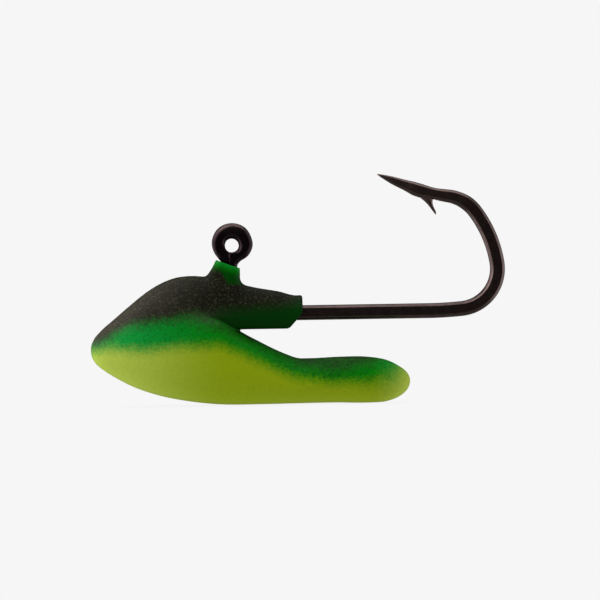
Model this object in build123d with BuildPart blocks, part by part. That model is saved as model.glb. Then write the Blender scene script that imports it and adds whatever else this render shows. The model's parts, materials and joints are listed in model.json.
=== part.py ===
from build123d import *
import os
from math import cos, radians, sin, tan

# A stand-up jig head: a lead head cast round a wide-gap hook, under a coat of powder paint.
# Millimetres. The origin is the centre of the line-tie eye, +X runs aft along the shank and
# +Z is up. The head is symmetric about the plane Y = 0, which is also the mould's parting plane.

# Hook wire
wire_diameter = 1.42
eye_hole_diameter = 1.40
eye_outer_diameter = 4.05
stem_lean = 13.0
stem_offset = 0.2
shank_depth = 6.9
shank_end_x = 19.35
stem_bend_radius = 2.3
bend_arcs = ((38.0, 5.2), (4.0, 93.4), (11.6, 27.7), (3.8, 45.9))
kink_run = 1.9
kink_radius = 3.3
kink_turn = -14.0
spear_length = 4.87
# Handles of the spear's taper: along it, and as a share of the wire's radius
spear_shoulder = (1.60, 0.93)
spear_taper = (3.40, 0.51)

# Loop end: the tapered end of the wire, laid along the front of the stem
loop_end_length = 2.3
loop_end_start_radius = 0.62
loop_end_tip_radius = 0.35
loop_end_start_offset = -0.5
loop_end_tip_offset = -0.2

# Barb points: along the spear from its base, and out from the wire's underside
barb_width = 0.5
barb_shoulder = (0.0, -0.05)
barb_front = (-0.90, 0.24)
barb_tip = (-2.00, 0.86)
barb_back = (-1.47, 0.15)
barb_root = (-1.22, -0.56)
barb_cut_middle = (-2.20, -0.59)
barb_cut_end = (-3.30, -0.71)

# Head. All heights below are from the shank's axis, and lengths from the eye's centre
nose_x = -14.27
nose_height = -3.4
tail_x = 17.54
tail_height = -6.9
sole_height = -9.1
paint_thickness = 0.12

# Hull stations: X, top, bottom and half width
# The nose's are measured aft from the nose, and the tail's forward from the tail
nose_stations = (
    (0.12, -2.75, -4.05, 0.55),
    (0.47, -2.10, -4.65, 0.95),
    (1.27, -1.25, -5.35, 1.50),
    (2.57, -0.25, -6.20, 2.00),
    (4.37, 0.90, -7.15, 2.50),
)
middle_stations = (
    (-7.40, 1.35, -8.00, 2.85),
    (-4.40, 1.10, -8.70, 3.05),
    (-1.60, -0.05, -9.10, 3.05),
    (0.40, -1.55, -9.30, 3.00),
    (2.70, -2.90, -9.35, 2.90),
    (5.05, -4.09, -9.35, 2.80),
    (7.40, -4.58, -9.35, 2.65),
)
tail_stations = (
    (7.04, -4.48, -9.35, 2.55),
    (4.14, -4.54, -9.30, 2.35),
    (2.34, -4.87, -9.10, 2.05),
    (1.14, -5.45, -8.55, 1.55),
    (0.34, -6.15, -7.90, 0.90),
)
hull_belly = 0.42

# Crown stations ahead of the bait collar: X, crest and half width
crown_stations = (
    (-12.30, -0.85, 1.20),
    (-11.10, 0.34, 1.65),
    (-9.25, 1.83, 2.10),
    (-7.40, 3.02, 2.30),
    (-5.60, 3.69, 2.30),
    (-4.20, 3.82, 2.20),
    (-2.60, 3.70, 2.00),
    (-0.60, 3.30, 1.78),
    (1.10, 2.90, 1.68),
    (2.50, 2.53, 1.64),
    (4.50, 2.13, 1.61),
)
crown_bottom = -2.0
crown_belly = 0.42

# Bait collar: the end of the crown, round the shank
collar_end_x = 6.94
collar_crest = 1.7
collar_half_width = 1.6
collar_underside = -1.55
collar_chamfer_rise = 1.6
collar_chamfer_run = 1.4

# Neck round the stem. Its top is placed from the eye, its waist and root from the shank
neck_top_middle = (-0.50, -2.16)
neck_top_length = 2.75
neck_top_width = 2.30
neck_slope = 20.0
neck_waist_height = 3.55
neck_waist_ends = (-2.75, 0.85)
neck_waist_width = 2.50
neck_root_height = 2.30
neck_root_ends = (-4.30, 2.30)
neck_root_width = 3.10
neck_corner = 0.65

# Fullness of a quarter curve's handles; 0.55 is an ellipse
round_fullness = 0.55
deck_fullness = 0.68
flank_fullness = 0.62


def quarter_section(station_x, top, bottom, half_width, belly, top_fullness):
    """A closed section across the head, widest at the belly share of its height."""
    middle = bottom + belly * (top - bottom)
    with BuildSketch(Plane.YZ.offset(station_x)) as section:
        with BuildLine():
            Bezier(
                (0, top),
                (top_fullness * half_width, top),
                (half_width, middle + flank_fullness * (top - middle)),
                (half_width, middle),
            )
            Bezier(
                (half_width, middle),
                (half_width, middle - flank_fullness * (middle - bottom)),
                (flank_fullness * half_width, bottom),
                (0, bottom),
            )
            mirror(about=Plane.YZ)
        make_face()
    return section.sketch


def head_body(inset):
    """The outside of the head, drawn in by the inset all over."""
    drawn_in = 1 - 2 * inset / (tail_x - nose_x)
    centre_x = (nose_x + tail_x) / 2

    # Hull: the full keel from the nose to the end of the foot
    stations = [(nose_x + aft, *sizes) for aft, *sizes in nose_stations]
    stations += middle_stations
    stations += [(tail_x - ahead, *sizes) for ahead, *sizes in tail_stations]
    hull_sections = []
    for station_x, top, bottom, half_width in stations:
        hull_sections.append(
            quarter_section(
                centre_x + drawn_in * (station_x - centre_x),
                top - shank_depth - inset,
                bottom - shank_depth + inset,
                half_width - inset,
                hull_belly,
                deck_fullness,
            )
        )
    nose_tip = Vertex(nose_x + inset, 0, nose_height - shank_depth)
    tail_tip = Vertex(tail_x - inset, 0, tail_height - shank_depth)
    sole_z = sole_height - shank_depth + inset
    with BuildPart() as hull:
        loft([nose_tip, *hull_sections, tail_tip])
        split(bisect_by=Plane.XY.offset(sole_z), keep=Keep.TOP)

    # Crown: the ridge above the hull, which ends as the bait collar round the shank
    brow_x = crown_stations[0][0]
    crown_sections = []
    for station_x, crest, half_width in (
        *crown_stations,
        (collar_end_x, collar_crest, collar_half_width),
    ):
        share = (station_x - brow_x) / (collar_end_x - brow_x)
        crown_sections.append(
            quarter_section(
                station_x - inset * share,
                crest - shank_depth - inset,
                crown_bottom - shank_depth,
                half_width - inset,
                crown_belly,
                round_fullness,
            )
        )
    underside_z = collar_underside - shank_depth
    chamfer_slope = Vector(collar_chamfer_run, 0, collar_chamfer_rise)
    chamfer_normal = Vector(collar_chamfer_rise, 0, -collar_chamfer_run).normalized()
    chamfer_point = Vector(collar_end_x, 0, underside_z + collar_chamfer_rise)
    chamfer_plane = Plane(
        chamfer_point - chamfer_normal * inset, x_dir=chamfer_slope, z_dir=chamfer_normal
    )
    with BuildPart() as crown:
        loft(crown_sections)
        split(bisect_by=Plane.XY.offset(underside_z + inset), keep=Keep.TOP)
        split(bisect_by=chamfer_plane, keep=Keep.BOTTOM)

    # Neck: a flared post with a slanted top
    slope = radians(neck_slope)
    neck_normal = Vector(sin(slope), 0, cos(slope))
    neck_top_point = Vector(neck_top_middle[0], 0, neck_top_middle[1]) - neck_normal * inset
    neck_top_plane = Plane(neck_top_point, x_dir=(cos(slope), 0, -sin(slope)), z_dir=neck_normal)
    neck_sections = []
    for height, ends, width in (
        (neck_root_height, neck_root_ends, neck_root_width),
        (neck_waist_height, neck_waist_ends, neck_waist_width),
    ):
        neck_plane = Plane(((ends[0] + ends[1]) / 2, 0, height - shank_depth))
        with BuildSketch(neck_plane) as neck_ring:
            RectangleRounded(ends[1] - ends[0] - 2 * inset, width - 2 * inset, neck_corner - inset)
        neck_sections.append(neck_ring.sketch)
    with BuildSketch(neck_top_plane) as neck_top:
        RectangleRounded(neck_top_length - 2 * inset, neck_top_width - 2 * inset, neck_corner - inset)
    neck_sections.append(neck_top.sketch)
    with BuildPart() as neck:
        loft(neck_sections)

    with BuildPart() as body:
        add(hull.part)
        add(crown.part)
        add(neck.part)
    return body.part


# Hook: one wire from its eye down the stem, along the shank, round the bend and out to the point
wire_radius = wire_diameter / 2
eye_radius = (eye_outer_diameter - wire_diameter) / 2
lean = radians(stem_lean)
stem_down = Vector(-sin(lean), 0, -cos(lean))
stem_aft = Vector(cos(lean), 0, -sin(lean))
stem_start = stem_down * eye_radius + stem_aft * stem_offset
stem_turn = 90 + stem_lean
bend_tangent = stem_bend_radius * tan(radians(stem_turn / 2))
stem_length = (shank_depth + stem_start.Z) / cos(lean) - bend_tangent

with BuildLine(Plane.XZ) as wire_path:
    wire_run = Line(stem_start, stem_start + stem_down * stem_length)
    wire_run = JernArc(wire_run @ 1, wire_run % 1, stem_bend_radius, stem_turn)
    wire_run = Line(wire_run @ 1, Vector(shank_end_x, 0, -shank_depth))
    for bend_radius, bend_turn in bend_arcs:
        wire_run = JernArc(wire_run @ 1, wire_run % 1, bend_radius, bend_turn)
    wire_run = Line(wire_run @ 1, (wire_run @ 1) + (wire_run % 1) * kink_run)
    wire_run = JernArc(wire_run @ 1, wire_run % 1, kink_radius, kink_turn)

spear_base = wire_run @ 1
spear_direction = wire_run % 1
# X of this plane runs to the point, Y towards the shank
spear_plane = Plane(spear_base, x_dir=spear_direction, z_dir=(0, -1, 0))
stem_plane = Plane(stem_start, z_dir=stem_down)

with BuildPart() as hook:
    with BuildSketch(stem_plane):
        Circle(wire_radius)
    sweep(path=wire_path.wires()[0])

    # Spear: an ogive from the full wire to the point
    with BuildSketch(spear_plane):
        with BuildLine():
            Line((0, 0), (0, wire_radius))
            Bezier(
                (0, wire_radius),
                (spear_shoulder[0], spear_shoulder[1] * wire_radius),
                (spear_taper[0], spear_taper[1] * wire_radius),
                (spear_length, 0),
            )
            Line((spear_length, 0), (0, 0))
        make_face()
    revolve(axis=Axis(spear_base, spear_direction))

    # Barb: a blade under the spear, then the cut that raised it and pared the wire down behind
    shoulder, front, tip, back, root, cut_middle, cut_end = [
        (along, wire_radius + out)
        for along, out in (
            barb_shoulder,
            barb_front,
            barb_tip,
            barb_back,
            barb_root,
            barb_cut_middle,
            barb_cut_end,
        )
    ]
    with BuildSketch(spear_plane):
        with BuildLine():
            ThreePointArc(shoulder, front, tip)
            Line(tip, (tip[0], 0))
            Line((tip[0], 0), (shoulder[0], 0))
            Line((shoulder[0], 0), shoulder)
        make_face()
    extrude(amount=barb_width / 2, both=True)
    with BuildSketch(spear_plane):
        with BuildLine():
            ThreePointArc(tip, back, root)
            ThreePointArc(root, cut_middle, cut_end)
            Line(cut_end, (cut_end[0], tip[1]))
            Line((cut_end[0], tip[1]), tip)
        make_face()
    extrude(amount=wire_diameter, both=True, mode=Mode.SUBTRACT)

    # Line-tie eye: the loop, its tapered end along the stem, and the hole swaged through
    with BuildSketch(Plane.XY):
        with Locations((eye_radius, 0)):
            Circle(wire_radius)
    revolve(axis=Axis.Y)
    for along, offset, radius in (
        (0, loop_end_start_offset, loop_end_start_radius),
        (loop_end_length, loop_end_tip_offset, loop_end_tip_radius),
    ):
        loop_end_point = stem_start + stem_down * along + stem_aft * (offset - stem_offset)
        with BuildSketch(Plane(loop_end_point, z_dir=stem_down)):
            Circle(radius)
    loft()
    with Locations(Plane.XZ):
        Cylinder(eye_hole_diameter / 2, 2 * wire_diameter, mode=Mode.SUBTRACT)
hook.part.label = "hook"

# Lead head: cast round the stem and the front of the shank
painted_body = head_body(0)
cast_body = head_body(paint_thickness)
with BuildPart() as lead_head:
    add(cast_body)
    add(hook.part, mode=Mode.SUBTRACT)
lead_head.part.label = "lead_head"

# Paint coat: the film over the casting, open where the hook comes out
with BuildPart() as paint_coat:
    add(painted_body)
    add(cast_body, mode=Mode.SUBTRACT)
    add(hook.part, mode=Mode.SUBTRACT)
paint_coat.part.label = "paint_coat"

os.makedirs("parts", exist_ok=True)
export_step(hook.part, "parts/hook.step")
export_step(lead_head.part, "parts/lead_head.step")
export_step(paint_coat.part, "parts/paint_coat.step")
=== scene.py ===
import json
import math

import bmesh
import bpy
import numpy as np
import openvdb
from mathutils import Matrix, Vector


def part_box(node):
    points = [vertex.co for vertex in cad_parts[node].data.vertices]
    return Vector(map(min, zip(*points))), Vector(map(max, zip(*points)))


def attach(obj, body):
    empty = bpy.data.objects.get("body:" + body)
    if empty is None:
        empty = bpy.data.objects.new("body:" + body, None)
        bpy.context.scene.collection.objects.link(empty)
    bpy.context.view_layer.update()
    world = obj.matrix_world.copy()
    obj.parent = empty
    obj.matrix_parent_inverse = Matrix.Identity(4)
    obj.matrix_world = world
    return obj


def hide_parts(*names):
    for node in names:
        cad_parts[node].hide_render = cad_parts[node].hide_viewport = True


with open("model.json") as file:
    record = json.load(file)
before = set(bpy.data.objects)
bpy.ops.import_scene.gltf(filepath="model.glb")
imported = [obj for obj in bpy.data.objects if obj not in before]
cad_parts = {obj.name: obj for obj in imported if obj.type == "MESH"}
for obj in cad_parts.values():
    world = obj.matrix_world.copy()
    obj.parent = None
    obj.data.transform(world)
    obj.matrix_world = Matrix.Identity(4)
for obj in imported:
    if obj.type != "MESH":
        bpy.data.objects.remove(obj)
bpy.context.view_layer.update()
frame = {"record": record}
coatLow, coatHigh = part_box("paint_coat")
hookLow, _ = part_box("hook")
lineTie = next(mount for mount in frame["record"]["mounts"] if mount["name"] == "line_tie")
eyeHole = lineTie["dims"]["r_mm"]

# Shapes are drawn in millimetres from the centre of the line-tie eye, and made metres at the end
mm = 0.001
wireRadius = 0.71
noseX, tailX = coatLow.x / mm, coatHigh.x / mm
soleZ = coatLow.z / mm
shankZ = hookLow.z / mm + wireRadius


# Camera, light and floor
studio = {
    "lens": 150.0,
    "sensor": 36.0,
    "clip": (0.01, 10.0),          # metres
    "viewWidth": 60.0,             # millimetres across the picture at the hook's plane
    "aim": (6.69, -5.63),          # X and Z at the middle of the picture
    "roll": 0.93,                  # degrees
    "paleGrey": 0.922,
    "floorReach": 2.0,             # metres
    "floorGap": 0.00003,
    "floorSides": 96,
    "paintedShadowReach": 0.004,
    "paintedShadowSamples": 16,
    "paintedShadowGrey": 0.88,
    "dimGlow": 0.06,
    # lit parts of the tent: towards where, brightness, and the closeness at which it starts and is full
    "litParts": (
        ((-0.66, -0.45, 0.60), 1.45, 0.70, 0.95),
        ((-1.0, 0.0, 0.0), 1.6, 0.50, 1.0),
        ((0.0, 0.0, 1.0), 1.2, 0.62, 0.95),
        ((1.0, 0.0, 0.0), 1.3, 0.55, 1.0),
    ),
    "underGlow": (0.70, 0.10, 0.45),
    "underShine": 0.25,            # share of it that shiny surfaces see
}


def addNode(tree, kind, **values):
    node = tree.nodes.new(kind)
    for name, value in values.items():
        if hasattr(node, name):
            setattr(node, name, value)
        else:
            node.inputs[name].default_value = value
    return node


def mathNode(tree, operation, *terms):
    node = tree.nodes.new("ShaderNodeMath")
    node.operation = operation
    for socket, term in zip(node.inputs, terms):
        if isinstance(term, bpy.types.NodeSocket):
            tree.links.new(term, socket)
        else:
            socket.default_value = term
    return node.outputs[0]


def plusShare(tree, base, value, share):
    return mathNode(tree, "ADD", base, mathNode(tree, "MULTIPLY", value, share))


def rampBetween(tree, value, low, high, toLow=0.0, toHigh=1.0):
    node = tree.nodes.new("ShaderNodeMapRange")
    node.interpolation_type = "SMOOTHSTEP"
    tree.links.new(value, node.inputs["Value"])
    for name, number in zip(("From Min", "From Max", "To Min", "To Max"), (low, high, toLow, toHigh)):
        node.inputs[name].default_value = number
    return node.outputs["Result"]


def makeCamera():
    data = bpy.data.cameras.new("productCamera")
    data.sensor_width = studio["sensor"]
    data.lens = studio["lens"]
    data.clip_start, data.clip_end = studio["clip"]
    camera = bpy.data.objects.new("productCamera", data)
    distance = studio["viewWidth"] * studio["lens"] / studio["sensor"]
    camera.location = (studio["aim"][0] * mm, -distance * mm, studio["aim"][1] * mm)
    camera.rotation_euler = (math.radians(90.0), math.radians(studio["roll"]), 0.0)
    bpy.context.scene.collection.objects.link(camera)
    bpy.context.scene.camera = camera


def makeWorld():
    world = bpy.data.worlds.new("softTent")
    bpy.context.scene.world = world
    world.use_nodes = True
    tree = world.node_tree
    tree.nodes.clear()
    direction = addNode(tree, "ShaderNodeSeparateXYZ")
    tree.links.new(addNode(tree, "ShaderNodeTexCoord").outputs["Generated"], direction.inputs[0])
    path = addNode(tree, "ShaderNodeLightPath")

    def litPart(towards, brightness, start, full):
        length = math.sqrt(sum(part * part for part in towards))
        closeness = 0.0
        for axis, part in zip(direction.outputs, towards):
            if part:
                closeness = plusShare(tree, closeness, axis, part / length)
        return rampBetween(tree, closeness, start, full, 0.0, brightness)

    under = litPart((0, 0, -1), *studio["underGlow"])
    hidden = mathNode(tree, "MULTIPLY", path.outputs["Is Glossy Ray"], 1 - studio["underShine"])
    seen = mathNode(tree, "SUBTRACT", 1.0, hidden)
    glow = mathNode(tree, "ADD", mathNode(tree, "MULTIPLY", under, seen), studio["dimGlow"])
    for part in studio["litParts"]:
        glow = mathNode(tree, "ADD", glow, litPart(*part))
    tent = addNode(tree, "ShaderNodeBackground", Color=(1, 1, 1, 1))
    tree.links.new(glow, tent.inputs["Strength"])
    pale = addNode(tree, "ShaderNodeBackground", Color=(1, 1, 1, 1), Strength=studio["paleGrey"])
    choose = addNode(tree, "ShaderNodeMixShader")
    tree.links.new(path.outputs["Is Camera Ray"], choose.inputs[0])
    tree.links.new(tent.outputs[0], choose.inputs[1])
    tree.links.new(pale.outputs[0], choose.inputs[2])
    output = addNode(tree, "ShaderNodeOutputWorld")
    tree.links.new(choose.outputs[0], output.inputs["Surface"])


def makeFloor():
    material = bpy.data.materials.new("paleSweep")
    material.use_nodes = True
    tree = material.node_tree
    tree.nodes.clear()
    # painted shadow: the floor's glow is dimmed where the jig is near
    paintedShadow = addNode(tree, "ShaderNodeAmbientOcclusion", samples=studio["paintedShadowSamples"])
    paintedShadow.inputs["Distance"].default_value = studio["paintedShadowReach"]
    shade = rampBetween(tree, paintedShadow.outputs["AO"], 0.0, 1.0, studio["paintedShadowGrey"], studio["paleGrey"])
    glow = addNode(tree, "ShaderNodeEmission")
    tree.links.new(shade, glow.inputs["Strength"])
    output = addNode(tree, "ShaderNodeOutputMaterial")
    tree.links.new(glow.outputs[0], output.inputs["Surface"])
    mesh = bpy.data.meshes.new("paleFloor")
    shape = bmesh.new()
    sides, reach = studio["floorSides"], studio["floorReach"]
    bmesh.ops.create_circle(shape, cap_ends=True, segments=sides, radius=reach)
    shape.to_mesh(mesh)
    shape.free()
    mesh.materials.append(material)
    floor = bpy.data.objects.new("paleFloor", mesh)
    bpy.context.scene.collection.objects.link(floor)
    floor.location.z = coatLow.z - studio["floorGap"]
    floor.visible_glossy = False       # the tent alone lights the jig, from below too
    floor.visible_diffuse = False


makeCamera()
makeWorld()
makeFloor()
bpy.context.scene.view_settings.view_transform = "Standard"
print("studio ready")


def splineRows(rows, count, steepEnds=False):
    # a smooth curve through the rows, by their spacing; steep ends stand square to the first column
    rows = np.array(rows, float)
    gaps = np.linalg.norm(np.diff(rows, axis=0), axis=1)
    slopes = np.diff(rows, axis=0) / gaps[:, None]
    tangents = np.empty_like(rows)
    before, after = gaps[:-1, None], gaps[1:, None]
    tangents[1:-1] = (slopes[:-1] * after + slopes[1:] * before) / (before + after)
    tangents[0] = 2 * slopes[0] - tangents[1]
    tangents[-1] = 2 * slopes[-1] - tangents[-2]
    if steepEnds:
        tangents[0, 0] = 0
        tangents[-1, 0] = 0
    along = np.concatenate([[0], np.cumsum(gaps)])
    places = np.linspace(0, along[-1], count)
    spans = np.clip(np.searchsorted(along, places, side="right") - 1, 0, len(gaps) - 1)
    t = ((places - along[spans]) / gaps[spans])[:, None]
    width = gaps[spans][:, None]
    return (
        (1 + 2 * t) * (1 - t) ** 2 * rows[spans]
        + t * (1 - t) ** 2 * width * tangents[spans]
        + t * t * (3 - 2 * t) * rows[spans + 1]
        + t * t * (t - 1) * width * tangents[spans + 1]
    )


def bezierRun(points, count):
    # a cubic curve on its four points, without its last point
    t = np.linspace(0, 1, count, endpoint=False)[:, None]
    a, b, c, d = np.array(points, float)
    return a * (1 - t) ** 3 + 3 * b * t * (1 - t) ** 2 + 3 * c * t * t * (1 - t) + d * t ** 3


def loftSurface(rings):
    # points and triangles of a closed skin over rings of equal count
    rings = np.array(rings)
    ringCount, sideCount = rings.shape[:2]
    points = np.concatenate([rings.reshape(-1, 3), [rings[0].mean(0)], [rings[-1].mean(0)]])
    first, last = len(points) - 2, len(points) - 1
    here = np.arange(sideCount)
    there = (here + 1) % sideCount
    triangles = []
    for ring in range(ringCount - 1):
        low, high = ring * sideCount, (ring + 1) * sideCount
        triangles.append(np.stack([low + here, high + here, high + there], 1))
        triangles.append(np.stack([low + here, high + there, low + there], 1))
    top = (ringCount - 1) * sideCount
    triangles.append(np.stack([np.full(sideCount, first), here, there], 1))
    triangles.append(np.stack([np.full(sideCount, last), top + there, top + here], 1))
    return points, np.concatenate(triangles)


class Block:
    # a grid of signed distances, negative inside the metal; adding 0 * x widens a thin term to all of it
    def __init__(self, low, high, voxel):
        self.voxel = voxel
        self.start = np.floor(np.array(low) / voxel).astype(int)
        self.count = np.ceil(np.array(high) / voxel).astype(int) - self.start + 1
        axes = [(s + np.arange(n)) * voxel for s, n in zip(self.start, self.count)]
        self.x, self.y, self.z = np.meshgrid(*axes, indexing="ij", sparse=True)

    def skin(self, surface, reach):
        points, triangles = surface
        grid = openvdb.FloatGrid.createLevelSetFromPolygons(
            points.astype(np.float32),
            triangles=triangles.astype(np.uint32),
            transform=openvdb.createLinearTransform(voxelSize=self.voxel),
            halfWidth=reach / self.voxel,
        )
        field = np.empty(tuple(self.count), np.float32)
        grid.copyToArray(field, ijk=tuple(int(s) for s in self.start))
        return field

    def mesh(self, field, name):
        grid = openvdb.FloatGrid(1.0)
        grid.copyFromArray(np.ascontiguousarray(field, np.float32), ijk=tuple(int(s) for s in self.start))
        grid.transform = openvdb.createLinearTransform(voxelSize=self.voxel)
        points, quads = grid.convertToQuads(0.0)
        return meshObject(name, points, quads)

    def sample(self, field, points):
        # the field's value at each point, between its eight nearest places
        place = points / self.voxel - self.start
        base = np.clip(np.floor(place).astype(int), 0, self.count - 2)
        part = place - base
        total = 0
        for corner in np.ndindex(2, 2, 2):
            share = np.prod(np.where(corner, part, 1 - part), axis=1)
            i, j, k = (base + corner).T
            total = total + share * field[i, j, k]
        return total


def smoothUnion(a, b, reach):
    overlap = np.clip(reach - np.abs(a - b), 0, None)
    return np.minimum(a, b) - overlap * overlap / (4 * reach)


def smoothCut(a, b, reach):
    return -smoothUnion(-a, -b, reach)


def ease(value, low, high):
    t = np.clip((value - low) / (high - low), 0, 1)
    return t * t * (3 - 2 * t)


def blurred(values, reach):
    # each value averaged with its neighbours, less with those further off
    weights = np.hanning(2 * reach + 3)[1:-1]
    return np.convolve(np.pad(values, reach, mode="edge"), weights / weights.sum(), mode="valid")


def meshObject(name, points, faces):
    mesh = bpy.data.meshes.new(name)
    mesh.vertices.add(len(points))
    mesh.vertices.foreach_set("co", np.ascontiguousarray(points, np.float32).ravel())
    faces = np.array(faces)
    corners = faces.shape[1]
    mesh.loops.add(faces.size)
    mesh.loops.foreach_set("vertex_index", faces.astype(np.int32).ravel())
    mesh.polygons.add(len(faces))
    mesh.polygons.foreach_set("loop_start", np.arange(0, faces.size, corners, dtype=np.int32))
    mesh.polygons.foreach_set("use_smooth", np.ones(len(faces), bool))
    mesh.update(calc_edges=True)
    mesh.validate()
    turnOutward(mesh)
    piece = bpy.data.objects.new(name, mesh)
    bpy.context.scene.collection.objects.link(piece)
    return piece


def turnOutward(mesh):
    shape = bmesh.new()
    shape.from_mesh(mesh)
    if shape.calc_volume(signed=True) < 0:
        bmesh.ops.reverse_faces(shape, faces=shape.faces[:])
    shape.to_mesh(mesh)
    shape.free()


def pointArray(mesh):
    points = np.empty(len(mesh.vertices) * 3, np.float32)
    mesh.vertices.foreach_get("co", points)
    return points.reshape(-1, 3).astype(float)


def relax(piece, rounds):
    # evens out the skin's small steps: each round draws it in, then lets it out by slightly more
    mesh = piece.data
    points = pointArray(mesh)
    ends = np.empty(len(mesh.edges) * 2, np.int32)
    mesh.edges.foreach_get("vertices", ends)
    ends = ends.reshape(-1, 2)
    neighbours = np.bincount(ends.ravel(), minlength=len(points))[:, None]
    for weight in (0.5, -0.52) * rounds:
        total = np.zeros_like(points)
        for axis in range(3):
            total[:, axis] += np.bincount(ends[:, 0], points[ends[:, 1], axis], len(points))
            total[:, axis] += np.bincount(ends[:, 1], points[ends[:, 0], axis], len(points))
        points += weight * (total / neighbours - points)
    mesh.vertices.foreach_set("co", points.astype(np.float32).ravel())
    mesh.update()


def finishPiece(piece, material, slotName, *nodes):
    piece.data.transform(((mm, 0, 0, 0), (0, mm, 0, 0), (0, 0, mm, 0), (0, 0, 0, 1)))
    piece.data.materials.clear()
    piece.data.materials.append(material)
    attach(piece, "root")
    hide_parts(*nodes)


# The casting; its paint has the same shape, a coat's thickness further out
head = {
    "voxel": 0.102,
    "blockMargin": 0.5,
    "blockTop": -1.0,
    "skinReach": 2.2,
    "relaxRounds": 3,
    # hull rows: X, top, bottom and half width; X is aft of the nose, then of the eye, then ahead of the
    # tail, and heights are from the shank's axis
    "hullRings": 260,
    "sectionSteps": 18,
    "leastHalf": 0.001,
    "leastHeight": 0.002,
    "noseHeight": -3.4,
    "noseRows": (
        (0.12, -2.75, -4.17, 0.55),
        (0.47, -2.12, -4.76, 0.95),
        (1.27, -1.36, -5.45, 1.50),
        (2.57, -0.44, -6.28, 2.00),
        (4.37, 0.75, -7.21, 2.44),
    ),
    "middleRows": (
        (-7.40, 1.25, -8.07, 2.80),
        (-4.40, 1.10, -8.68, 3.01),
        (-1.60, -0.05, -9.00, 3.06),
        (0.40, -1.60, -9.12, 3.00),
        (2.70, -2.91, -9.10, 2.90),
        (4.40, -3.78, -9.08, 2.83),
        (5.40, -4.21, -9.05, 2.78),
        (6.30, -4.53, -9.04, 2.73),
        (7.60, -4.58, -9.02, 2.65),
    ),
    "tailRows": (
        (7.04, -4.48, -9.02, 2.55),
        (4.14, -4.53, -9.13, 2.35),
        (2.34, -4.86, -8.95, 2.05),
        (1.14, -5.45, -8.52, 1.55),
        (0.34, -6.08, -7.88, 0.91),
    ),
    "tailHeight": -6.9,
    "bellyShare": 0.42,            # of the height, where a section is widest
    "deckFullness": 0.68,
    "flankFullness": 0.62,
    "crownFullness": 0.55,
    # crown rows: X, crest and half width
    "crownRings": 160,
    "crownRows": (
        (-13.40, -1.85, 0.60),
        (-12.90, -1.29, 0.85),
        (-12.30, -0.74, 1.15),
        (-11.10, 0.31, 1.60),
        (-10.20, 1.05, 1.88),
        (-9.25, 1.82, 2.10),
        (-8.20, 2.56, 2.26),
        (-7.40, 3.02, 2.30),
        (-5.60, 3.69, 2.30),
        (-4.20, 3.82, 2.20),
        (-2.60, 3.70, 2.00),
        (-0.60, 3.30, 1.78),
        (1.10, 2.84, 1.68),
        (2.50, 2.52, 1.64),
        (4.50, 2.16, 1.61),
        (6.35, 1.72, 1.60),
        (6.80, 1.74, 1.62),
        (7.60, 1.70, 1.62),
    ),
    "crownBottom": -2.0,
    "collarEnd": 6.96,
    "collarSlant": 0.04,
    "collarUnderside": -1.55,
    "chamferRise": 1.57,
    "chamferRun": 1.4,
    "edgeRound": 0.22,
    # neck rows: middle X and Z from the eye, tilt in degrees, half length and half width
    "neckRings": 40,
    "neckSides": 64,
    "neckRows": (
        (-1.15, -4.60, 0.0, 1.95, 1.45),
        (-0.95, -3.42, 6.0, 1.67, 1.22),
        (-0.65, -2.60, 14.0, 1.40, 1.12),
        (-0.465, -1.95, 20.0, 1.25, 1.12),
    ),
    "neckFlatness": 3.6,
    # fillets, and the spans over which they change: neckRearSpan is aft of the eye, browSpan and noseSpan
    # ahead of it, browSides out from the middle
    "neckBlend": 0.42,
    "neckRearBlend": 0.68,
    "neckRearSpan": (-0.8, 0.6),
    "creaseBlend": 0.25,
    "browBlend": 1.9,
    "browSpan": (1.8, 6.5),
    "browSides": (0.2, 1.3),
    "noseSpan": (8.5, 12.0),
    "noseCrease": 0.85,            # how much of the brow's fillet is gone at the nose
    "soleRound": 0.12,
    "partingHeight": 0.035,
    "partingWidth": 0.13,
    "paintThickness": 0.12,
}


def crossSections(rows, topFullness):
    # rings across the head from rows of X, top, bottom and half width
    flank, steps = head["flankFullness"], head["sectionSteps"]
    rings = []
    for x, top, bottom, half in rows:
        half = max(half, head["leastHalf"])
        top = max(top, bottom + head["leastHeight"])
        middle = bottom + head["bellyShare"] * (top - bottom)
        widest = (half, middle)
        above = (half, middle + flank * (top - middle))
        below = (half, middle - flank * (middle - bottom))
        upper = bezierRun(((0, top), (topFullness * half, top), above, widest), steps)
        lower = bezierRun((widest, below, (flank * half, bottom), (0, bottom)), steps)
        right = np.concatenate([upper, lower, [[0, bottom]]])
        outline = np.concatenate([right, right[-2:0:-1] * (-1, 1)])
        rings.append(np.column_stack([np.full(len(outline), x), outline[:, 0], outline[:, 1] + shankZ]))
    return rings


def hullSurface():
    rows = [(noseX, head["noseHeight"], head["noseHeight"], 0)]
    rows += [(noseX + aft, *sizes) for aft, *sizes in head["noseRows"]]
    rows += head["middleRows"]
    rows += [(tailX - ahead, *sizes) for ahead, *sizes in head["tailRows"]]
    rows += [(tailX, head["tailHeight"], head["tailHeight"], 0)]
    rows = splineRows(rows, head["hullRings"], steepEnds=True)
    return loftSurface(crossSections(rows, head["deckFullness"]))


def crownSurface():
    rows = splineRows(head["crownRows"], head["crownRings"])
    rows = [(x, crest, head["crownBottom"], half) for x, crest, half in rows]
    return loftSurface(crossSections(rows, head["crownFullness"]))


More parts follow.
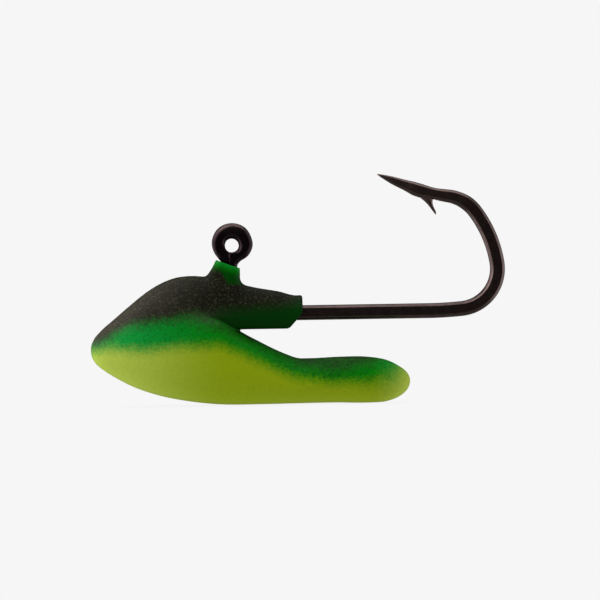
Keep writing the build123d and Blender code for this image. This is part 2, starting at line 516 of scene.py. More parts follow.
def neckSurface():
    turn = np.linspace(0, 2 * math.pi, head["neckSides"], endpoint=False)
    power = 2 / head["neckFlatness"]
    across = np.sign(np.cos(turn)) * np.abs(np.cos(turn)) ** power
    aside = np.sign(np.sin(turn)) * np.abs(np.sin(turn)) ** power
    rings = []
    for x, z, tilt, halfLength, halfWidth in splineRows(head["neckRows"], head["neckRings"]):
        lean = math.radians(tilt)
        along = across * halfLength
        ring = (x + along * math.cos(lean), aside * halfWidth, z - along * math.sin(lean))
        rings.append(np.column_stack(ring))
    return loftSurface(rings)


def shapeHead():
    margin = head["blockMargin"]
    low = (noseX - margin, coatLow.y / mm - margin, soleZ - margin)
    high = (tailX + margin, coatHigh.y / mm + margin, head["blockTop"])
    block = Block(low, high, head["voxel"])
    hull = block.skin(hullSurface(), head["skinReach"])
    crown = block.skin(crownSurface(), head["skinReach"])
    neck = block.skin(neckSurface(), head["skinReach"])

    # the collar's end, its flat underside and the chamfer between them
    rounding = head["edgeRound"]
    underside = shankZ + head["collarUnderside"]
    collarEnd = block.x - head["collarEnd"] + head["collarSlant"] * (block.z - shankZ)
    crown = smoothCut(crown, collarEnd, rounding)
    crown = smoothCut(crown, underside - block.z + 0 * block.x, rounding)
    slant = math.hypot(head["chamferRise"], head["chamferRun"])
    chamfer = (block.x - head["collarEnd"]) * head["chamferRise"]
    chamfer = chamfer - (block.z - underside - head["chamferRise"]) * head["chamferRun"]
    crown = smoothCut(crown, chamfer / slant, rounding)

    # brow and shoulder run together ahead of the eye; aft of it the hull's edge stands clear
    nose = ease(-block.x, *head["noseSpan"])
    forward = ease(-block.x, *head["browSpan"]) * (1 - head["noseCrease"] * nose)
    aside = ease(np.abs(block.y), *head["browSides"])
    blend = head["creaseBlend"] + (head["browBlend"] - head["creaseBlend"]) * forward * aside
    body = smoothUnion(hull, crown, blend)
    rearward = ease(block.x, *head["neckRearSpan"])
    blend = head["neckBlend"] + (head["neckRearBlend"] - head["neckBlend"]) * rearward
    body = smoothUnion(body, neck, blend)
    body = body - head["partingHeight"] * np.exp(-((block.y / head["partingWidth"]) ** 2))
    body = smoothCut(body, soleZ - block.z + 0 * block.x, head["soleRound"])
    return block, body, hull, crown


block, body, hullField, crownField = shapeHead()
paintCoat = block.mesh(body, "paintCoat")
relax(paintCoat, head["relaxRounds"])
leadHead = block.mesh(body + head["paintThickness"], "leadHead")
print("head shaped:", len(paintCoat.data.polygons), "faces")


# Where the green and the black lie on the paint
spray = {
    # the coats' edges: X and Z from the eye, front to back
    "blackEdge": (
        (-14.0, -10.1), (-13.4, -9.85), (-12.4, -9.2), (-10.3, -8.0), (-8.3, -7.75), (-5.3, -7.35),
        (-3.3, -7.5), (-1.35, -7.90), (0.64, -8.93), (4.6, -11.0), (6.6, -11.95), (8.6, -12.45),
        (10.6, -12.6), (12.6, -12.2), (14.4, -11.3), (15.5, -10.7),
    ),
    "greenEdge": (
        (-14.2, -10.65), (-13.4, -10.4), (-12.4, -10.15), (-10.3, -10.4), (-8.3, -10.5), (-5.3, -10.1),
        (-1.35, -10.1), (0.64, -10.9), (4.6, -12.7), (6.6, -13.5), (9.6, -13.95), (13.6, -14.05),
        (15.6, -13.7), (16.5, -13.0), (17.4, -11.6),
    ),
    "hubEdge": ((-3.6, -7.4), (-2.3, -7.0), (-1.0, -6.6), (3.0, -6.35), (5.4, -6.15), (6.9, -5.7)),
    "neckEdge": (
        (-2.6, -2.3), (-1.6, -2.5), (-1.15, -2.65), (-0.8, -3.3), (-0.45, -3.9), (0.5, -4.05), (1.4, -3.9),
    ),
    "edgeSteps": 400,
    "edgeBlur": 11,
    # the hub is where the crown stands out of the hull, aft of the eye: depths and X over which it starts
    "hubDepth": (-0.1, 0.25),
    "hubStart": (-3.4, -2.2),
    "hubGreen": 4.0,
    "neckSpan": (-2.3, 1.5),
    "neckFoot": (-4.3, -4.0),
    "neckFootDepth": 3.0,
    "neckSharpness": 2.2,
    # under the neck's slanted top: the painted shade and where it is full, then the painted highlight along
    # its rim and where it ends
    "neckShade": 0.9,
    "neckShadeDepth": 1.1,
    "neckRimHighlight": 0.3,
    "neckRimHighlightDepths": (0.15, 0.6),
    "shoulderSpan": (-6.0, -2.5),
    "shoulderFade": 0.4,           # how much softer the black's edge is on the shoulder under the eye
    "haze": (-2.3, -7.3, 2.2, 0.6),    # a paler patch on that shoulder: X, Z, length and height
    "hazeOnColour": 0.3,
    "hazeOnBlack": 0.7,
    "footStart": 6.0,
    "footBlack": 0.25,             # the black is only a thin veil on top of the foot
    "tailSpan": (12.5, 15.5),
    "tailFade": 0.5,
    "paintedLightNose": (0.5, 12.5),       # painted light: the coats are made paler towards both ends, where the side lamps light them more
    "paintedLightTail": (13.5, 17.5),
    "paintedLightTailShare": 0.8,
    # painted light: the black is made less pale near its edge, except at the nose
    "paintedLightAtBlackEdge": 0.45,
    "paintedLightAtBlackEdgeNose": 0.5,
    "paintedLightAtBlackEdgeSpan": (8.2, 11.5),
    "blackPaintedLightDepths": (0.2, 2.2),
}


def edgeHeight(name, x):
    xs, zs = np.array(spray[name]).T
    fine = np.linspace(xs[0], xs[-1], spray["edgeSteps"])
    heights = np.interp(fine, xs, zs)
    return np.interp(x, fine, blurred(heights, spray["edgeBlur"]))


def storeNumber(mesh, name, values):
    layer = mesh.attributes.new(name, "FLOAT", "POINT")
    layer.data.foreach_set("value", values.astype(np.float32))


def sprayPaint(piece):
    # stores how far each point lies inside the green and the black, in millimetres, and how much painted
    # light, haze and painted shade it gets
    points = pointArray(piece.data)
    x, z = points[:, 0], points[:, 2]
    hub = ease(block.sample(hullField, points) - block.sample(crownField, points), *spray["hubDepth"])
    hub = hub * ease(x, *spray["hubStart"])
    shoulder = ease(x, *spray["shoulderSpan"])
    black = (z - edgeHeight("blackEdge", x)) * (1 - spray["shoulderFade"] * shoulder)
    black = (1 - hub) * black + hub * (z - edgeHeight("hubEdge", x))
    black = np.where(x > spray["footStart"], np.minimum(black, spray["footBlack"]), black)
    neckStart, neckEnd = spray["neckSpan"]
    onNeck = ease(z, *spray["neckFoot"]) * (x > neckStart) * (x < neckEnd)
    neckBlack = spray["neckSharpness"] * (edgeHeight("neckEdge", x) - z)
    neckBlack = neckBlack + spray["neckFootDepth"] * (1 - onNeck)
    black = np.where(onNeck > 0, np.minimum(black, neckBlack), black)
    green = z - edgeHeight("greenEdge", x)
    green = green * (1 - spray["tailFade"] * ease(x, *spray["tailSpan"]))
    green = np.maximum(green, spray["hubGreen"] * hub - 1)

    topX, topZ, topTilt = head["neckRows"][-1][:3]
    belowTop = topZ - (x - topX) * math.tan(math.radians(topTilt)) - z
    neckShade = spray["neckShade"] * ease(belowTop, 0.0, spray["neckShadeDepth"])
    neckRimHighlight = spray["neckRimHighlight"] * onNeck * (1 - ease(belowTop, *spray["neckRimHighlightDepths"]))
    # painted light: paler towards the nose and tail, and along the neck's top rim
    paintedLightAndHaze = ease(-x, *spray["paintedLightNose"]) + spray["paintedLightTailShare"] * ease(x, *spray["paintedLightTail"]) + neckRimHighlight
    edgeShare = spray["paintedLightAtBlackEdge"] + spray["paintedLightAtBlackEdgeNose"] * ease(-x, *spray["paintedLightAtBlackEdgeSpan"])
    blackPaintedLightAndHaze = paintedLightAndHaze * (edgeShare + (1 - edgeShare) * ease(black, *spray["blackPaintedLightDepths"]))
    hazeX, hazeZ, hazeLength, hazeHeight = spray["haze"]
    haze = np.exp(-(((x - hazeX) / hazeLength) ** 2) - ((z - hazeZ) / hazeHeight) ** 2)

    storeNumber(piece.data, "blackDepth", black)
    storeNumber(piece.data, "greenDepth", green)
    storeNumber(piece.data, "paintedLightAndHaze", paintedLightAndHaze + spray["hazeOnColour"] * haze)
    storeNumber(piece.data, "blackPaintedLightAndHaze", blackPaintedLightAndHaze + spray["hazeOnBlack"] * haze)
    # the hub's green is darkened partly as painted shade where crown and deck keep light off, partly as
    # thin green over darker paint; the neck's below its top as painted shade
    storeNumber(piece.data, "darkGreenAndShade", hub + (neckShade - hub) * onNeck)


sprayPaint(paintCoat)


paint = {
    "chartreuse": (0.26, 0.355, 0.005),
    "green": (0.0005, 0.205, 0.002),
    # deep green: the mottling's own colour, and the painted shade on the hub and neck
    "mottleAndShadeGreen": (0.0004, 0.034, 0.001),
    "black": (0.009, 0.0092, 0.005),
    "fleck": (0.035, 0.036, 0.018),
    # lit copies of the coats, mixed in as painted light
    "paintedLitChartreuse": (0.42, 0.535, 0.066),
    "paintedLitGreen": (0.005, 0.32, 0.045),
    "paintedLitBlack": (0.049, 0.043, 0.032),
    "paintedLitFleck": (0.088, 0.080, 0.056),
    "speck": (0.02, 0.32, 0.07),
    # noises: size in metres, detail and roughness
    "grain": 0.00013,
    "driftNoise": (0.0016, 3.0, 0.6),
    "cloudNoise": (0.00035, 3.0, 0.6),
    "peelNoise": (0.0005, 2.0, 0.5),
    "fineNoise": (0.00009, 1.0, 0.5),
    # the coats' edges: half their width, and how far the noises throw them, in millimetres
    "blackSoftness": 0.95,
    "greenSoftness": 0.95,
    "driftScatter": 0.5,
    "grainScatter": 0.385,
    "cloudScatter": 0.539,
    # light specks and dark mottling in the green, pale flecks in the black
    "speckRange": (1.16, 1.30),
    "speckShare": 0.38,
    "speckCloud": 0.5,
    "mottleRange": (0.7, 1.1),
    "mottleShare": 0.4,
    "mottleGrain": 0.5,
    "fleckRange": (0.65, 1.0),
    "toneLow": 0.95,
    "toneSpread": 0.1,
    "sheen": 0.05,
    "roughSpan": (0.2, 0.8),
    "roughness": (0.36, 0.50),
    "fineShare": 0.22,
    "bump": (0.35, 0.00004),       # strength and height in metres
}


def mixColour(tree, factor, first, second):
    node = tree.nodes.new("ShaderNodeMix")
    node.data_type = "RGBA"
    for socket, value in ((node.inputs[0], factor), (node.inputs[6], first), (node.inputs[7], second)):
        if isinstance(value, bpy.types.NodeSocket):
            tree.links.new(value, socket)
        elif isinstance(value, tuple):
            socket.default_value = (*value, 1.0)
        else:
            socket.default_value = value
    return node.outputs[2]


def newMaterial(name):
    material = bpy.data.materials.new(name)
    material.use_nodes = True
    tree = material.node_tree
    tree.nodes.clear()
    shader = addNode(tree, "ShaderNodeBsdfPrincipled")
    output = addNode(tree, "ShaderNodeOutputMaterial")
    tree.links.new(shader.outputs[0], output.inputs["Surface"])
    place = addNode(tree, "ShaderNodeTexCoord").outputs["Object"]
    return material, tree, shader, place


def noiseAt(tree, place, size, detail, roughness):
    node = addNode(tree, "ShaderNodeTexNoise", Scale=1 / size, Detail=detail, Roughness=roughness)
    tree.links.new(place, node.inputs["Vector"])
    return node.outputs["Fac"]


def attributeAt(tree, name):
    return addNode(tree, "ShaderNodeAttribute", attribute_name=name).outputs["Fac"]


def addBump(tree, shader, height, strength, distance):
    bump = addNode(tree, "ShaderNodeBump", Strength=strength, Distance=distance)
    tree.links.new(height, bump.inputs["Height"])
    tree.links.new(bump.outputs[0], shader.inputs["Normal"])


def powderPaint():
    material, tree, shader, place = newMaterial("powderPaint")
    shader.inputs["Specular IOR Level"].default_value = paint["sheen"]
    grains = addNode(tree, "ShaderNodeTexVoronoi", Scale=1 / paint["grain"])
    tree.links.new(place, grains.inputs["Vector"])
    grainTone = addNode(tree, "ShaderNodeSeparateColor")
    tree.links.new(grains.outputs["Color"], grainTone.inputs[0])
    grain, otherGrain, thirdGrain = grainTone.outputs
    drift = noiseAt(tree, place, *paint["driftNoise"])
    cloud = noiseAt(tree, place, *paint["cloudNoise"])

    def thrown(noise, scatter):
        return mathNode(tree, "MULTIPLY", mathNode(tree, "SUBTRACT", noise, 0.5), scatter)

    def coverage(depthName, softness):
        # 0 to 1 across the sprayed edge, broken up grain by grain
        depth = attributeAt(tree, depthName)
        depth = mathNode(tree, "ADD", depth, thrown(drift, paint["driftScatter"]))
        speckle = thrown(grain, paint["grainScatter"])
        speckle = mathNode(tree, "ADD", speckle, thrown(cloud, paint["cloudScatter"]))
        depth = mathNode(tree, "ADD", depth, speckle)
        return rampBetween(tree, depth, -softness, softness)

    # painted light: how far each colour is swapped for its lit copy
    paintedLightAndHaze = attributeAt(tree, "paintedLightAndHaze")
    greenCover = coverage("greenDepth", paint["greenSoftness"])
    blackCover = coverage("blackDepth", paint["blackSoftness"])
    yellowTone = mixColour(tree, paintedLightAndHaze, paint["chartreuse"], paint["paintedLitChartreuse"])
    greenTone = mixColour(tree, paintedLightAndHaze, paint["green"], paint["paintedLitGreen"])
    speck = plusShare(tree, otherGrain, cloud, paint["speckCloud"])
    speck = rampBetween(tree, speck, *paint["speckRange"])
    speck = mathNode(tree, "MULTIPLY", speck, paint["speckShare"])
    greenTone = mixColour(tree, speck, greenTone, paint["speck"])
    mottle = plusShare(tree, cloud, thirdGrain, paint["mottleGrain"])
    mottle = rampBetween(tree, mottle, *paint["mottleRange"])
    mottle = mathNode(tree, "MULTIPLY", mottle, paint["mottleShare"])
    greenTone = mixColour(tree, mottle, greenTone, paint["mottleAndShadeGreen"])
    # painted shade on the hub and neck, with darker paint on the hub
    greenTone = mixColour(tree, attributeAt(tree, "darkGreenAndShade"), greenTone, paint["mottleAndShadeGreen"])
    colour = mixColour(tree, greenCover, yellowTone, greenTone)
    # painted light on the black and its flecks
    blackPaintedLightAndHaze = attributeAt(tree, "blackPaintedLightAndHaze")
    blackTone = mixColour(tree, blackPaintedLightAndHaze, paint["black"], paint["paintedLitBlack"])
    fleckTone = mixColour(tree, blackPaintedLightAndHaze, paint["fleck"], paint["paintedLitFleck"])
    darkTone = mixColour(tree, rampBetween(tree, otherGrain, *paint["fleckRange"]), blackTone, fleckTone)
    colour = mixColour(tree, blackCover, colour, darkTone)
    shaded = addNode(tree, "ShaderNodeVectorMath", operation="SCALE")
    tree.links.new(colour, shaded.inputs[0])
    tone = plusShare(tree, paint["toneLow"], thirdGrain, paint["toneSpread"])
    tree.links.new(tone, shaded.inputs["Scale"])
    tree.links.new(shaded.outputs[0], shader.inputs["Base Color"])
    rough = rampBetween(tree, cloud, *paint["roughSpan"], *paint["roughness"])
    tree.links.new(rough, shader.inputs["Roughness"])
    peel = noiseAt(tree, place, *paint["peelNoise"])
    fine = noiseAt(tree, place, *paint["fineNoise"])
    addBump(tree, shader, plusShare(tree, peel, fine, paint["fineShare"]), *paint["bump"])
    return material


lead = {
    "dark": (0.16, 0.16, 0.17),
    "light": (0.34, 0.34, 0.36),
    "metallic": 0.9,
    # noises: size in metres, detail and roughness
    "mottleNoise": (0.0009, 5.0, 0.6),
    "wearNoise": (0.0003, 2.0, 0.5),
    "wearSpan": (0.3, 0.7),
    "roughness": (0.42, 0.62),
    "pitNoise": (0.0004, 4.0, 0.6),
    "bump": (0.4, 0.00003),
}


def castLead():
    material, tree, shader, place = newMaterial("castLead")
    shader.inputs["Metallic"].default_value = lead["metallic"]
    grey = mixColour(tree, noiseAt(tree, place, *lead["mottleNoise"]), lead["dark"], lead["light"])
    tree.links.new(grey, shader.inputs["Base Color"])
    wear = noiseAt(tree, place, *lead["wearNoise"])
    rough = rampBetween(tree, wear, *lead["wearSpan"], *lead["roughness"])
    tree.links.new(rough, shader.inputs["Roughness"])
    addBump(tree, shader, noiseAt(tree, place, *lead["pitNoise"]), *lead["bump"])
    return material


finishPiece(paintCoat, powderPaint(), "powder_paint", "paint_coat")
finishPiece(leadHead, castLead(), "cast_lead", "lead_head")
print("paint sprayed")


# The wire from the eye's stem to the point, and the barb
hook = {
    "eyeRadius": 1.315,
    "stemLean": 13.0,
    "stemOffset": 0.2,
    "stemBend": 2.3,
    "shankEnd": 19.40,
    "bendArcs": ((38.0, 5.2), (4.0, 93.4), (11.6, 27.7), (3.8, 45.9)),
    "kinkRun": 1.9,
    "kinkRadius": 3.3,
    "kinkTurn": -14.8,
    "spearLength": 4.87,
    "pathStep": 0.12,
    "sides": 48,
    "sideFlat": 0.80,              # half thickness over half height
    "weldReach": 0.00001,          # points this close are made one, and slivers this thin dissolved
    "sliverReach": 0.0001,
    # half height of the wire along the spear, ahead of its base
    "spearHalf": (
        (0.0, 0.70), (0.6, 0.692), (1.1, 0.65), (1.6, 0.56), (2.2, 0.486), (2.8, 0.432), (3.4, 0.352),
        (4.0, 0.235), (4.3, 0.175), (4.6, 0.105), (4.87, 0.015),
    ),
    # and where the barb's cut pared the wire down, behind the base
    "cutHalf": (
        (0.0, 0.70), (0.55, 0.625), (1.2, 0.575), (1.8, 0.61), (2.4, 0.65), (3.1, 0.67), (3.8, 0.70),
        (4.6, 0.75),
    ),
    "trueHalf": 0.69,              # out to the side away from the shank, where the cut left the wire whole
    "blurSteps": 3,
    "sharpTip": 0.7,               # the tip's own taper isn't blurred
    # how far forging pushed the middle line to that side, along the spear from its base
    "lift": (
        (-2.6, 0.0), (-1.5, -0.03), (-0.9, 0.02), (-0.45, 0.10), (0.16, 0.076), (0.68, 0.024),
        (1.2, 0.033), (1.7, 0.027), (2.3, 0.01), (2.9, 0.0),
    ),
    # barb sections: front and back edge, each along the spear and out from its axis, then half thickness
    "barbRings": 36,
    "barbSides": 24,
    "barbThinnest": 0.01,
    "barbRows": (
        (0.10, 0.30, -1.30, -0.10, 0.36),
        (-0.04, 0.57, -1.31, 0.14, 0.32),
        (-0.27, 0.67, -1.30, 0.38, 0.27),
        (-0.59, 0.78, -1.38, 0.60, 0.22),
        (-0.98, 0.95, -1.54, 0.85, 0.18),
        (-1.40, 1.20, -1.77, 1.08, 0.13),
        (-1.84, 1.46, -2.06, 1.38, 0.07),
        (-2.09, 1.61, -2.11, 1.605, 0.012),
    ),
}


def stemLine():
    # the stem's lean, the way down it, and its top at the eye
    lean = math.radians(hook["stemLean"])
    down = np.array([-math.sin(lean), -math.cos(lean)])
    aft = np.array([math.cos(lean), -math.sin(lean)])
    return lean, down, down * hook["eyeRadius"] + aft * hook["stemOffset"]


def tracePath():
    # the wire's middle line: place, heading and length, from the eye down the stem and round to the point
    lean, down, place = stemLine()
    heading = math.atan2(down[1], down[0])
    stemTurn = 90 + hook["stemLean"]
    tangent = hook["stemBend"] * math.tan(math.radians(stemTurn / 2))
    stemLength = (place[1] - shankZ) / math.cos(lean) - tangent
    trail = [(place, heading)]

    def run(length, radius=None, turn=0.0):
        nonlocal place, heading
        span = length if radius is None else math.radians(abs(turn)) * radius
        steps = max(2, round(span / hook["pathStep"]))
        for _ in range(steps):
            bend = math.radians(turn) / steps
            heading += bend / 2
            chord = span / steps if radius is None else 2 * radius * math.sin(abs(bend) / 2)
            place = place + chord * np.array([math.cos(heading), math.sin(heading)])
            heading += bend / 2
            trail.append((place, heading))

    run(stemLength)
    run(0, hook["stemBend"], stemTurn)
    run(hook["shankEnd"] - place[0])
    for radius, turn in hook["bendArcs"]:
        run(0, radius, turn)
    run(hook["kinkRun"])
    run(0, hook["kinkRadius"], hook["kinkTurn"])
    spearBase, spearHeading = place, heading
    run(hook["spearLength"])
    places = np.array([p for p, _ in trail])
    headings = np.array([h for _, h in trail])
    lengths = np.concatenate([[0], np.cumsum(np.linalg.norm(np.diff(places, axis=0), axis=1))])
    return places, headings, lengths - (lengths[-1] - hook["spearLength"]), spearBase, spearHeading


def wirePath():
    places, headings, ahead, spearBase, spearHeading = tracePath()
    spearAlong, spearHalf = np.array(hook["spearHalf"]).T
    cutAlong, cutHalf = np.array(hook["cutHalf"]).T
    spear = np.interp(ahead, spearAlong, spearHalf)
    half = np.where(ahead >= 0, spear, np.interp(-ahead, cutAlong, cutHalf))
    onTip = ahead > hook["spearLength"] - hook["sharpTip"]
    half = np.where(onTip, half, blurred(half, hook["blurSteps"]))
    # the cut was made from the shank's side, so the wire's far side stays true there
    far = np.column_stack([np.sin(headings), -np.cos(headings)])
    pared = np.where(ahead < 0, np.clip(hook["trueHalf"] - half, 0, None), 0)
    lift = blurred(np.interp(ahead, *np.array(hook["lift"]).T), hook["blurSteps"])
    places = places + far * (pared + lift)[:, None]
    mesh = bpy.data.meshes.new("wirePath")
    points = [(x, 0.0, z) for x, z in places]
    mesh.from_pydata(points, [(i, i + 1) for i in range(len(points) - 1)], [])
    storeNumber(mesh, "halfHeight", half)
    path = bpy.data.objects.new("wirePath", mesh)
    bpy.context.scene.collection.objects.link(path)
    return path, spearBase, spearHeading


def wireTree(material):
    # sweeps a round profile along the path, then presses its two sides flat
    tree = bpy.data.node_groups.new("forgedWire", "GeometryNodeTree")
    face = tree.interface
    face.new_socket("Geometry", in_out="INPUT", socket_type="NodeSocketGeometry")
    sides = face.new_socket("Sides", in_out="INPUT", socket_type="NodeSocketInt")
    sideFlat = face.new_socket("Side flat", in_out="INPUT", socket_type="NodeSocketFloat")
    finish = face.new_socket("Finish", in_out="INPUT", socket_type="NodeSocketMaterial")
    face.new_socket("Geometry", in_out="OUTPUT", socket_type="NodeSocketGeometry")
    given = addNode(tree, "NodeGroupInput")
    made = addNode(tree, "NodeGroupOutput")
    link = tree.links.new
    line = addNode(tree, "GeometryNodeMeshToCurve")
    link(given.outputs["Geometry"], line.inputs[0])
    profile = addNode(tree, "GeometryNodeCurvePrimitiveCircle", Radius=1.0)
    link(given.outputs["Sides"], profile.inputs["Resolution"])
    halfHeight = addNode(tree, "GeometryNodeInputNamedAttribute", data_type="FLOAT")
    halfHeight.inputs["Name"].default_value = "halfHeight"
    sweep = addNode(tree, "GeometryNodeCurveToMesh")
    sweep.inputs["Fill Caps"].default_value = True
    link(line.outputs[0], sweep.inputs["Curve"])
    link(profile.outputs["Curve"], sweep.inputs["Profile Curve"])
    link(halfHeight.outputs[0], sweep.inputs["Scale"])
    position = addNode(tree, "GeometryNodeInputPosition")
    parts = addNode(tree, "ShaderNodeSeparateXYZ")
    link(position.outputs[0], parts.inputs[0])
    limit = mathNode(tree, "MULTIPLY", halfHeight.outputs[0], given.outputs["Side flat"])
    pressed = mathNode(tree, "MINIMUM", parts.outputs[1], limit)
    pressed = mathNode(tree, "MAXIMUM", pressed, mathNode(tree, "MULTIPLY", limit, -1.0))
    joined = addNode(tree, "ShaderNodeCombineXYZ")
    link(parts.outputs[0], joined.inputs[0])
    link(pressed, joined.inputs[1])
    link(parts.outputs[2], joined.inputs[2])
    press = addNode(tree, "GeometryNodeSetPosition")
    link(sweep.outputs[0], press.inputs["Geometry"])
    link(joined.outputs[0], press.inputs["Position"])
    realize = addNode(tree, "GeometryNodeRealizeInstances")
    link(press.outputs[0], realize.inputs[0])
    coat = addNode(tree, "GeometryNodeSetMaterial")
    link(realize.outputs[0], coat.inputs["Geometry"])
    link(given.outputs["Finish"], coat.inputs["Material"])
    link(coat.outputs[0], made.inputs[0])
    values = ((sides, hook["sides"]), (sideFlat, hook["sideFlat"]), (finish, material))
    return tree, {socket.identifier: value for socket, value in values}


def plainCopy(source, name):
    # the evaluated shape as an ordinary mesh object, in place of its source
    graph = bpy.context.evaluated_depsgraph_get()
    mesh = bpy.data.meshes.new_from_object(source.evaluated_get(graph), depsgraph=graph)
    mesh.name = name
    bpy.data.objects.remove(source)
    piece = bpy.data.objects.new(name, mesh)
    bpy.context.scene.collection.objects.link(piece)
    return piece


def sweepWire(material):
    path, spearBase, spearHeading = wirePath()
    tree, values = wireTree(material)
    modifier = path.modifiers.new("forgedWire", "NODES")
    modifier.node_group = tree
    for identifier, value in values.items():
        modifier[identifier] = value
    wire = plainCopy(path, "hookWire")
    shape = bmesh.new()
    shape.from_mesh(wire.data)
    bmesh.ops.remove_doubles(shape, verts=shape.verts[:], dist=hook["weldReach"])
    bmesh.ops.recalc_face_normals(shape, faces=shape.faces[:])
    shape.to_mesh(wire.data)
    shape.free()
    turnOutward(wire.data)
    return wire, spearBase, spearHeading


def makeBarb(spearBase, spearHeading):
    ahead = np.array([math.cos(spearHeading), math.sin(spearHeading)])
    under = np.array([-math.sin(spearHeading), math.cos(spearHeading)])   # towards the shank
    turn = np.linspace(0, 2 * math.pi, hook["barbSides"], endpoint=False)
    rings = []
    for frontAlong, frontOut, backAlong, backOut, thick in splineRows(hook["barbRows"], hook["barbRings"]):
        front = spearBase + frontAlong * ahead + frontOut * under
        back = spearBase + backAlong * ahead + backOut * under
        middle, arm = (front + back) / 2, (front - back) / 2
        ring = middle + np.cos(turn)[:, None] * arm
        aside = np.sin(turn) * max(thick, hook["barbThinnest"])
        rings.append(np.column_stack([ring[:, 0], aside, ring[:, 1]]))
    points, triangles = loftSurface(rings)
    return meshObject("barb", points, triangles)


eye = {
    "voxel": 0.04,
    "blockReach": (2.4, 0.85),     # to each side: in its own plane and across it
    "blockDrop": 1.0,              # below the stem's end
    "relaxRounds": 4,
    # the ring's outer edge by angle in degrees from aft, anticlockwise: wire of uneven curl
    "outerEdge": (
        (-180, 2.035), (-171, 2.00), (-159, 1.90), (-145, 1.84), (-90, 1.78), (-60, 1.80), (-38, 1.92),
        (-22, 1.98), (-9, 2.03), (2, 2.06), (14, 2.05), (26, 2.06), (38, 2.10), (52, 2.15), (69, 2.16),
        (90, 2.17), (112, 2.175), (130, 2.165), (143, 2.13), (155, 2.095), (167, 2.075), (180, 2.035),
    ),
    "holeShift": (-0.06, -0.09),
    "holeTrim": 0.03,              # how much the plating narrows the hole
    "holeRound": 0.1,
    "centreGuard": 0.1,
    "flatHalf": 0.62,
    "flatRound": 0.12,
    "loopAngle": 208.0,
    "loopStart": 1.20,
    "loopLength": 2.1,
    "loopHalf": (0.60, 0.46),
    "stemEnd": -4.6,
    "stemFillet": 0.3,
    "fillet": 0.5,
    "seamX": -0.33,
    "seamTop": -0.62,
    "seamBottom": -2.6,
    "seamRadius": 0.07,
    "seamLift": 0.02,
    "seamRound": 0.06,
}


def makeEye():
    reachIn, reachAcross = eye["blockReach"]
    low = (-reachIn, -reachAcross, eye["stemEnd"] - eye["blockDrop"])
    grid = Block(low, (reachIn, reachAcross, reachIn), eye["voxel"])
    x, y, z = grid.x, grid.y, grid.z
    angle = np.degrees(np.arctan2(z, x + 0 * z))
    outer = np.interp(angle, *np.array(eye["outerEdge"]).T)
    holeX, holeZ = eye["holeShift"]
    reach = np.sqrt(x * x + z * z)
    hole = eyeHole - eye["holeTrim"]
    inner = hole + (holeX * x + holeZ * z) / np.maximum(reach, eye["centreGuard"])
    middle, half = (outer + inner) / 2, (outer - inner) / 2
    around = reach - middle
    ring = np.sqrt(around ** 2 + (y * half / wireRadius) ** 2) - half

    def tube(start, end, startHalf, endHalf):
        start, end = np.array(start), np.array(end)
        run = end - start
        share = np.clip(((x - start[0]) * run[0] + (z - start[1]) * run[1]) / (run @ run), 0, 1)
        offX, offZ = x - start[0] - share * run[0], z - start[1] - share * run[1]
        return np.sqrt(offX ** 2 + y ** 2 + offZ ** 2) - (startHalf + (endHalf - startHalf) * share)

    lean, down, stemTop = stemLine()
    stemFoot = stemTop + down * (stemTop[1] - eye["stemEnd"]) / math.cos(lean)
    stem = tube(stemTop, stemFoot, wireRadius, wireRadius)
    turn = math.radians(eye["loopAngle"])
    loopTop = eye["loopStart"] * np.array([math.cos(turn), math.sin(turn)])
    loopFoot = loopTop + eye["loopLength"] * np.array([-math.sin(turn), math.cos(turn)])
    loopEnd = tube(loopTop, loopFoot, *eye["loopHalf"])
    shape = smoothUnion(stem, loopEnd, eye["stemFillet"])
    shape = smoothUnion(ring, shape, eye["fillet"])
    holeCut = hole - np.sqrt((x - holeX) ** 2 + (z - holeZ) ** 2)
    shape = smoothCut(shape, holeCut + 0 * y, eye["holeRound"])
    shape = smoothCut(shape, np.abs(y) - eye["flatHalf"] + 0 * x, eye["flatRound"])
    seamZ = np.clip(z, eye["seamBottom"], eye["seamTop"])
    offSeam = np.abs(y) - eye["flatHalf"] - eye["seamLift"]
    seam = np.sqrt((x - eye["seamX"]) ** 2 + offSeam ** 2 + (z - seamZ) ** 2)
    shape = smoothCut(shape, eye["seamRadius"] - seam, eye["seamRound"])
    piece = grid.mesh(shape, "lineTie")
    relax(piece, eye["relaxRounds"])
    return piece


def unite(piece, *others):
    for other in others:
        modifier = piece.modifiers.new("weld", "BOOLEAN")
        modifier.operation = "UNION"
        modifier.solver = "MANIFOLD"
        modifier.object = other
    joined = plainCopy(piece, piece.name)
    for other in others:
        bpy.data.objects.remove(other)
    # the weld leaves a few slivers with no area
    shape = bmesh.new()
    shape.from_mesh(joined.data)
    bmesh.ops.dissolve_degenerate(shape, dist=hook["sliverReach"], edges=shape.edges[:])
    shape.to_mesh(joined.data)
    shape.free()
    joined.data.polygons.foreach_set("use_smooth", np.ones(len(joined.data.polygons), bool))
    return joined


blackNickel = {
    "dark": (0.100, 0.066, 0.062),
    "warm": (0.140, 0.100, 0.092),
    "mottleNoise": (0.0007, 4.0, 0.6),
    "mottleSpan": (0.3, 0.7),
    # heights, lengths and reaches from the eye in metres: start and end, and for some the share at each
    "paintedEyeShade": (0.026, 0.015, 0.021),
    "paintedEyeShadeHeights": (0.0008, 0.0020, 0.85, 0.25),
    "paintedEyeShadeReach": (0.003, 0.008, 1.0, 0.0),
    "rimShadeColour": (0.008, 0.005, 0.006),
    "rimHeights": (0.0002, 0.0013, 0.62, 0.0),
    "rimLength": (0.003, 0.004, 1.0, 0.0),
    "rimReach": (0.00160, 0.00185),
    "ground": (0.19, 0.135, 0.12),
    "groundHeights": (0.003, 0.0055, 0.0, 0.6),
    "fineNoise": (0.00012, 3.0, 0.6),
    "fineSpan": (0.25, 0.75),
    "roughness": (0.15, 0.29),
    "bump": (0.25, 0.00001),
}


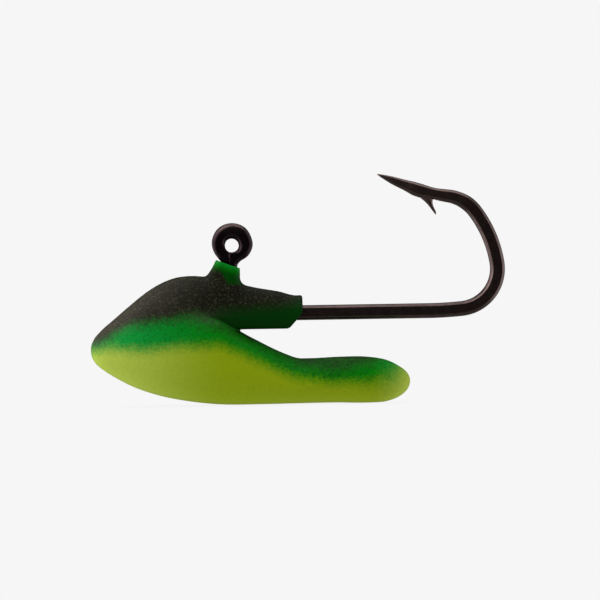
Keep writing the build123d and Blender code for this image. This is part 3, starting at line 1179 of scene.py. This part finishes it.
def hookFinish():
    material, tree, shader, place = newMaterial("blackNickel")
    shader.inputs["Metallic"].default_value = 1.0
    mottle = noiseAt(tree, place, *blackNickel["mottleNoise"])
    mottle = rampBetween(tree, mottle, *blackNickel["mottleSpan"])
    colour = mixColour(tree, mottle, blackNickel["dark"], blackNickel["warm"])
    # painted shade: the eye is darkened, less towards its top, where it would reflect the dark surroundings
    parts = addNode(tree, "ShaderNodeSeparateXYZ")
    tree.links.new(place, parts.inputs[0])
    along, _, height = parts.outputs
    paintedEyeShadeShare = rampBetween(tree, height, *blackNickel["paintedEyeShadeHeights"])
    paintedEyeShadeReach = rampBetween(tree, along, *blackNickel["paintedEyeShadeReach"])
    paintedEyeShadeShare = mathNode(tree, "MULTIPLY", paintedEyeShadeShare, paintedEyeShadeReach)
    colour = mixColour(tree, paintedEyeShadeShare, colour, blackNickel["paintedEyeShade"])
    # it is browner where the spear was ground
    groundShare = rampBetween(tree, height, *blackNickel["groundHeights"])
    colour = mixColour(tree, groundShare, colour, blackNickel["ground"])
    # painted shade: the eye's rim is darkened at its sides and foot, where it would reflect the dark
    # surroundings
    flat = addNode(tree, "ShaderNodeVectorMath", operation="MULTIPLY")
    tree.links.new(place, flat.inputs[0])
    flat.inputs[1].default_value = (1.0, 0.0, 1.0)
    reach = addNode(tree, "ShaderNodeVectorMath", operation="LENGTH")
    tree.links.new(flat.outputs[0], reach.inputs[0])
    rimShare = rampBetween(tree, height, *blackNickel["rimHeights"])
    rimLength = rampBetween(tree, along, *blackNickel["rimLength"])
    rimShare = mathNode(tree, "MULTIPLY", rimShare, rimLength)
    rimReach = rampBetween(tree, reach.outputs["Value"], *blackNickel["rimReach"])
    rimShare = mathNode(tree, "MULTIPLY", rimShare, rimReach)
    colour = mixColour(tree, rimShare, colour, blackNickel["rimShadeColour"])
    tree.links.new(colour, shader.inputs["Base Color"])
    fine = noiseAt(tree, place, *blackNickel["fineNoise"])
    rough = rampBetween(tree, fine, *blackNickel["fineSpan"], *blackNickel["roughness"])
    tree.links.new(rough, shader.inputs["Roughness"])
    addBump(tree, shader, fine, *blackNickel["bump"])
    return material


hookMaterial = hookFinish()
wire, spearBase, spearHeading = sweepWire(hookMaterial)
hookWire = unite(wire, makeEye(), makeBarb(spearBase, spearHeading))
finishPiece(hookWire, hookMaterial, "hook_wire", "hook")
print("hook forged:", len(hookWire.data.polygons), "faces")
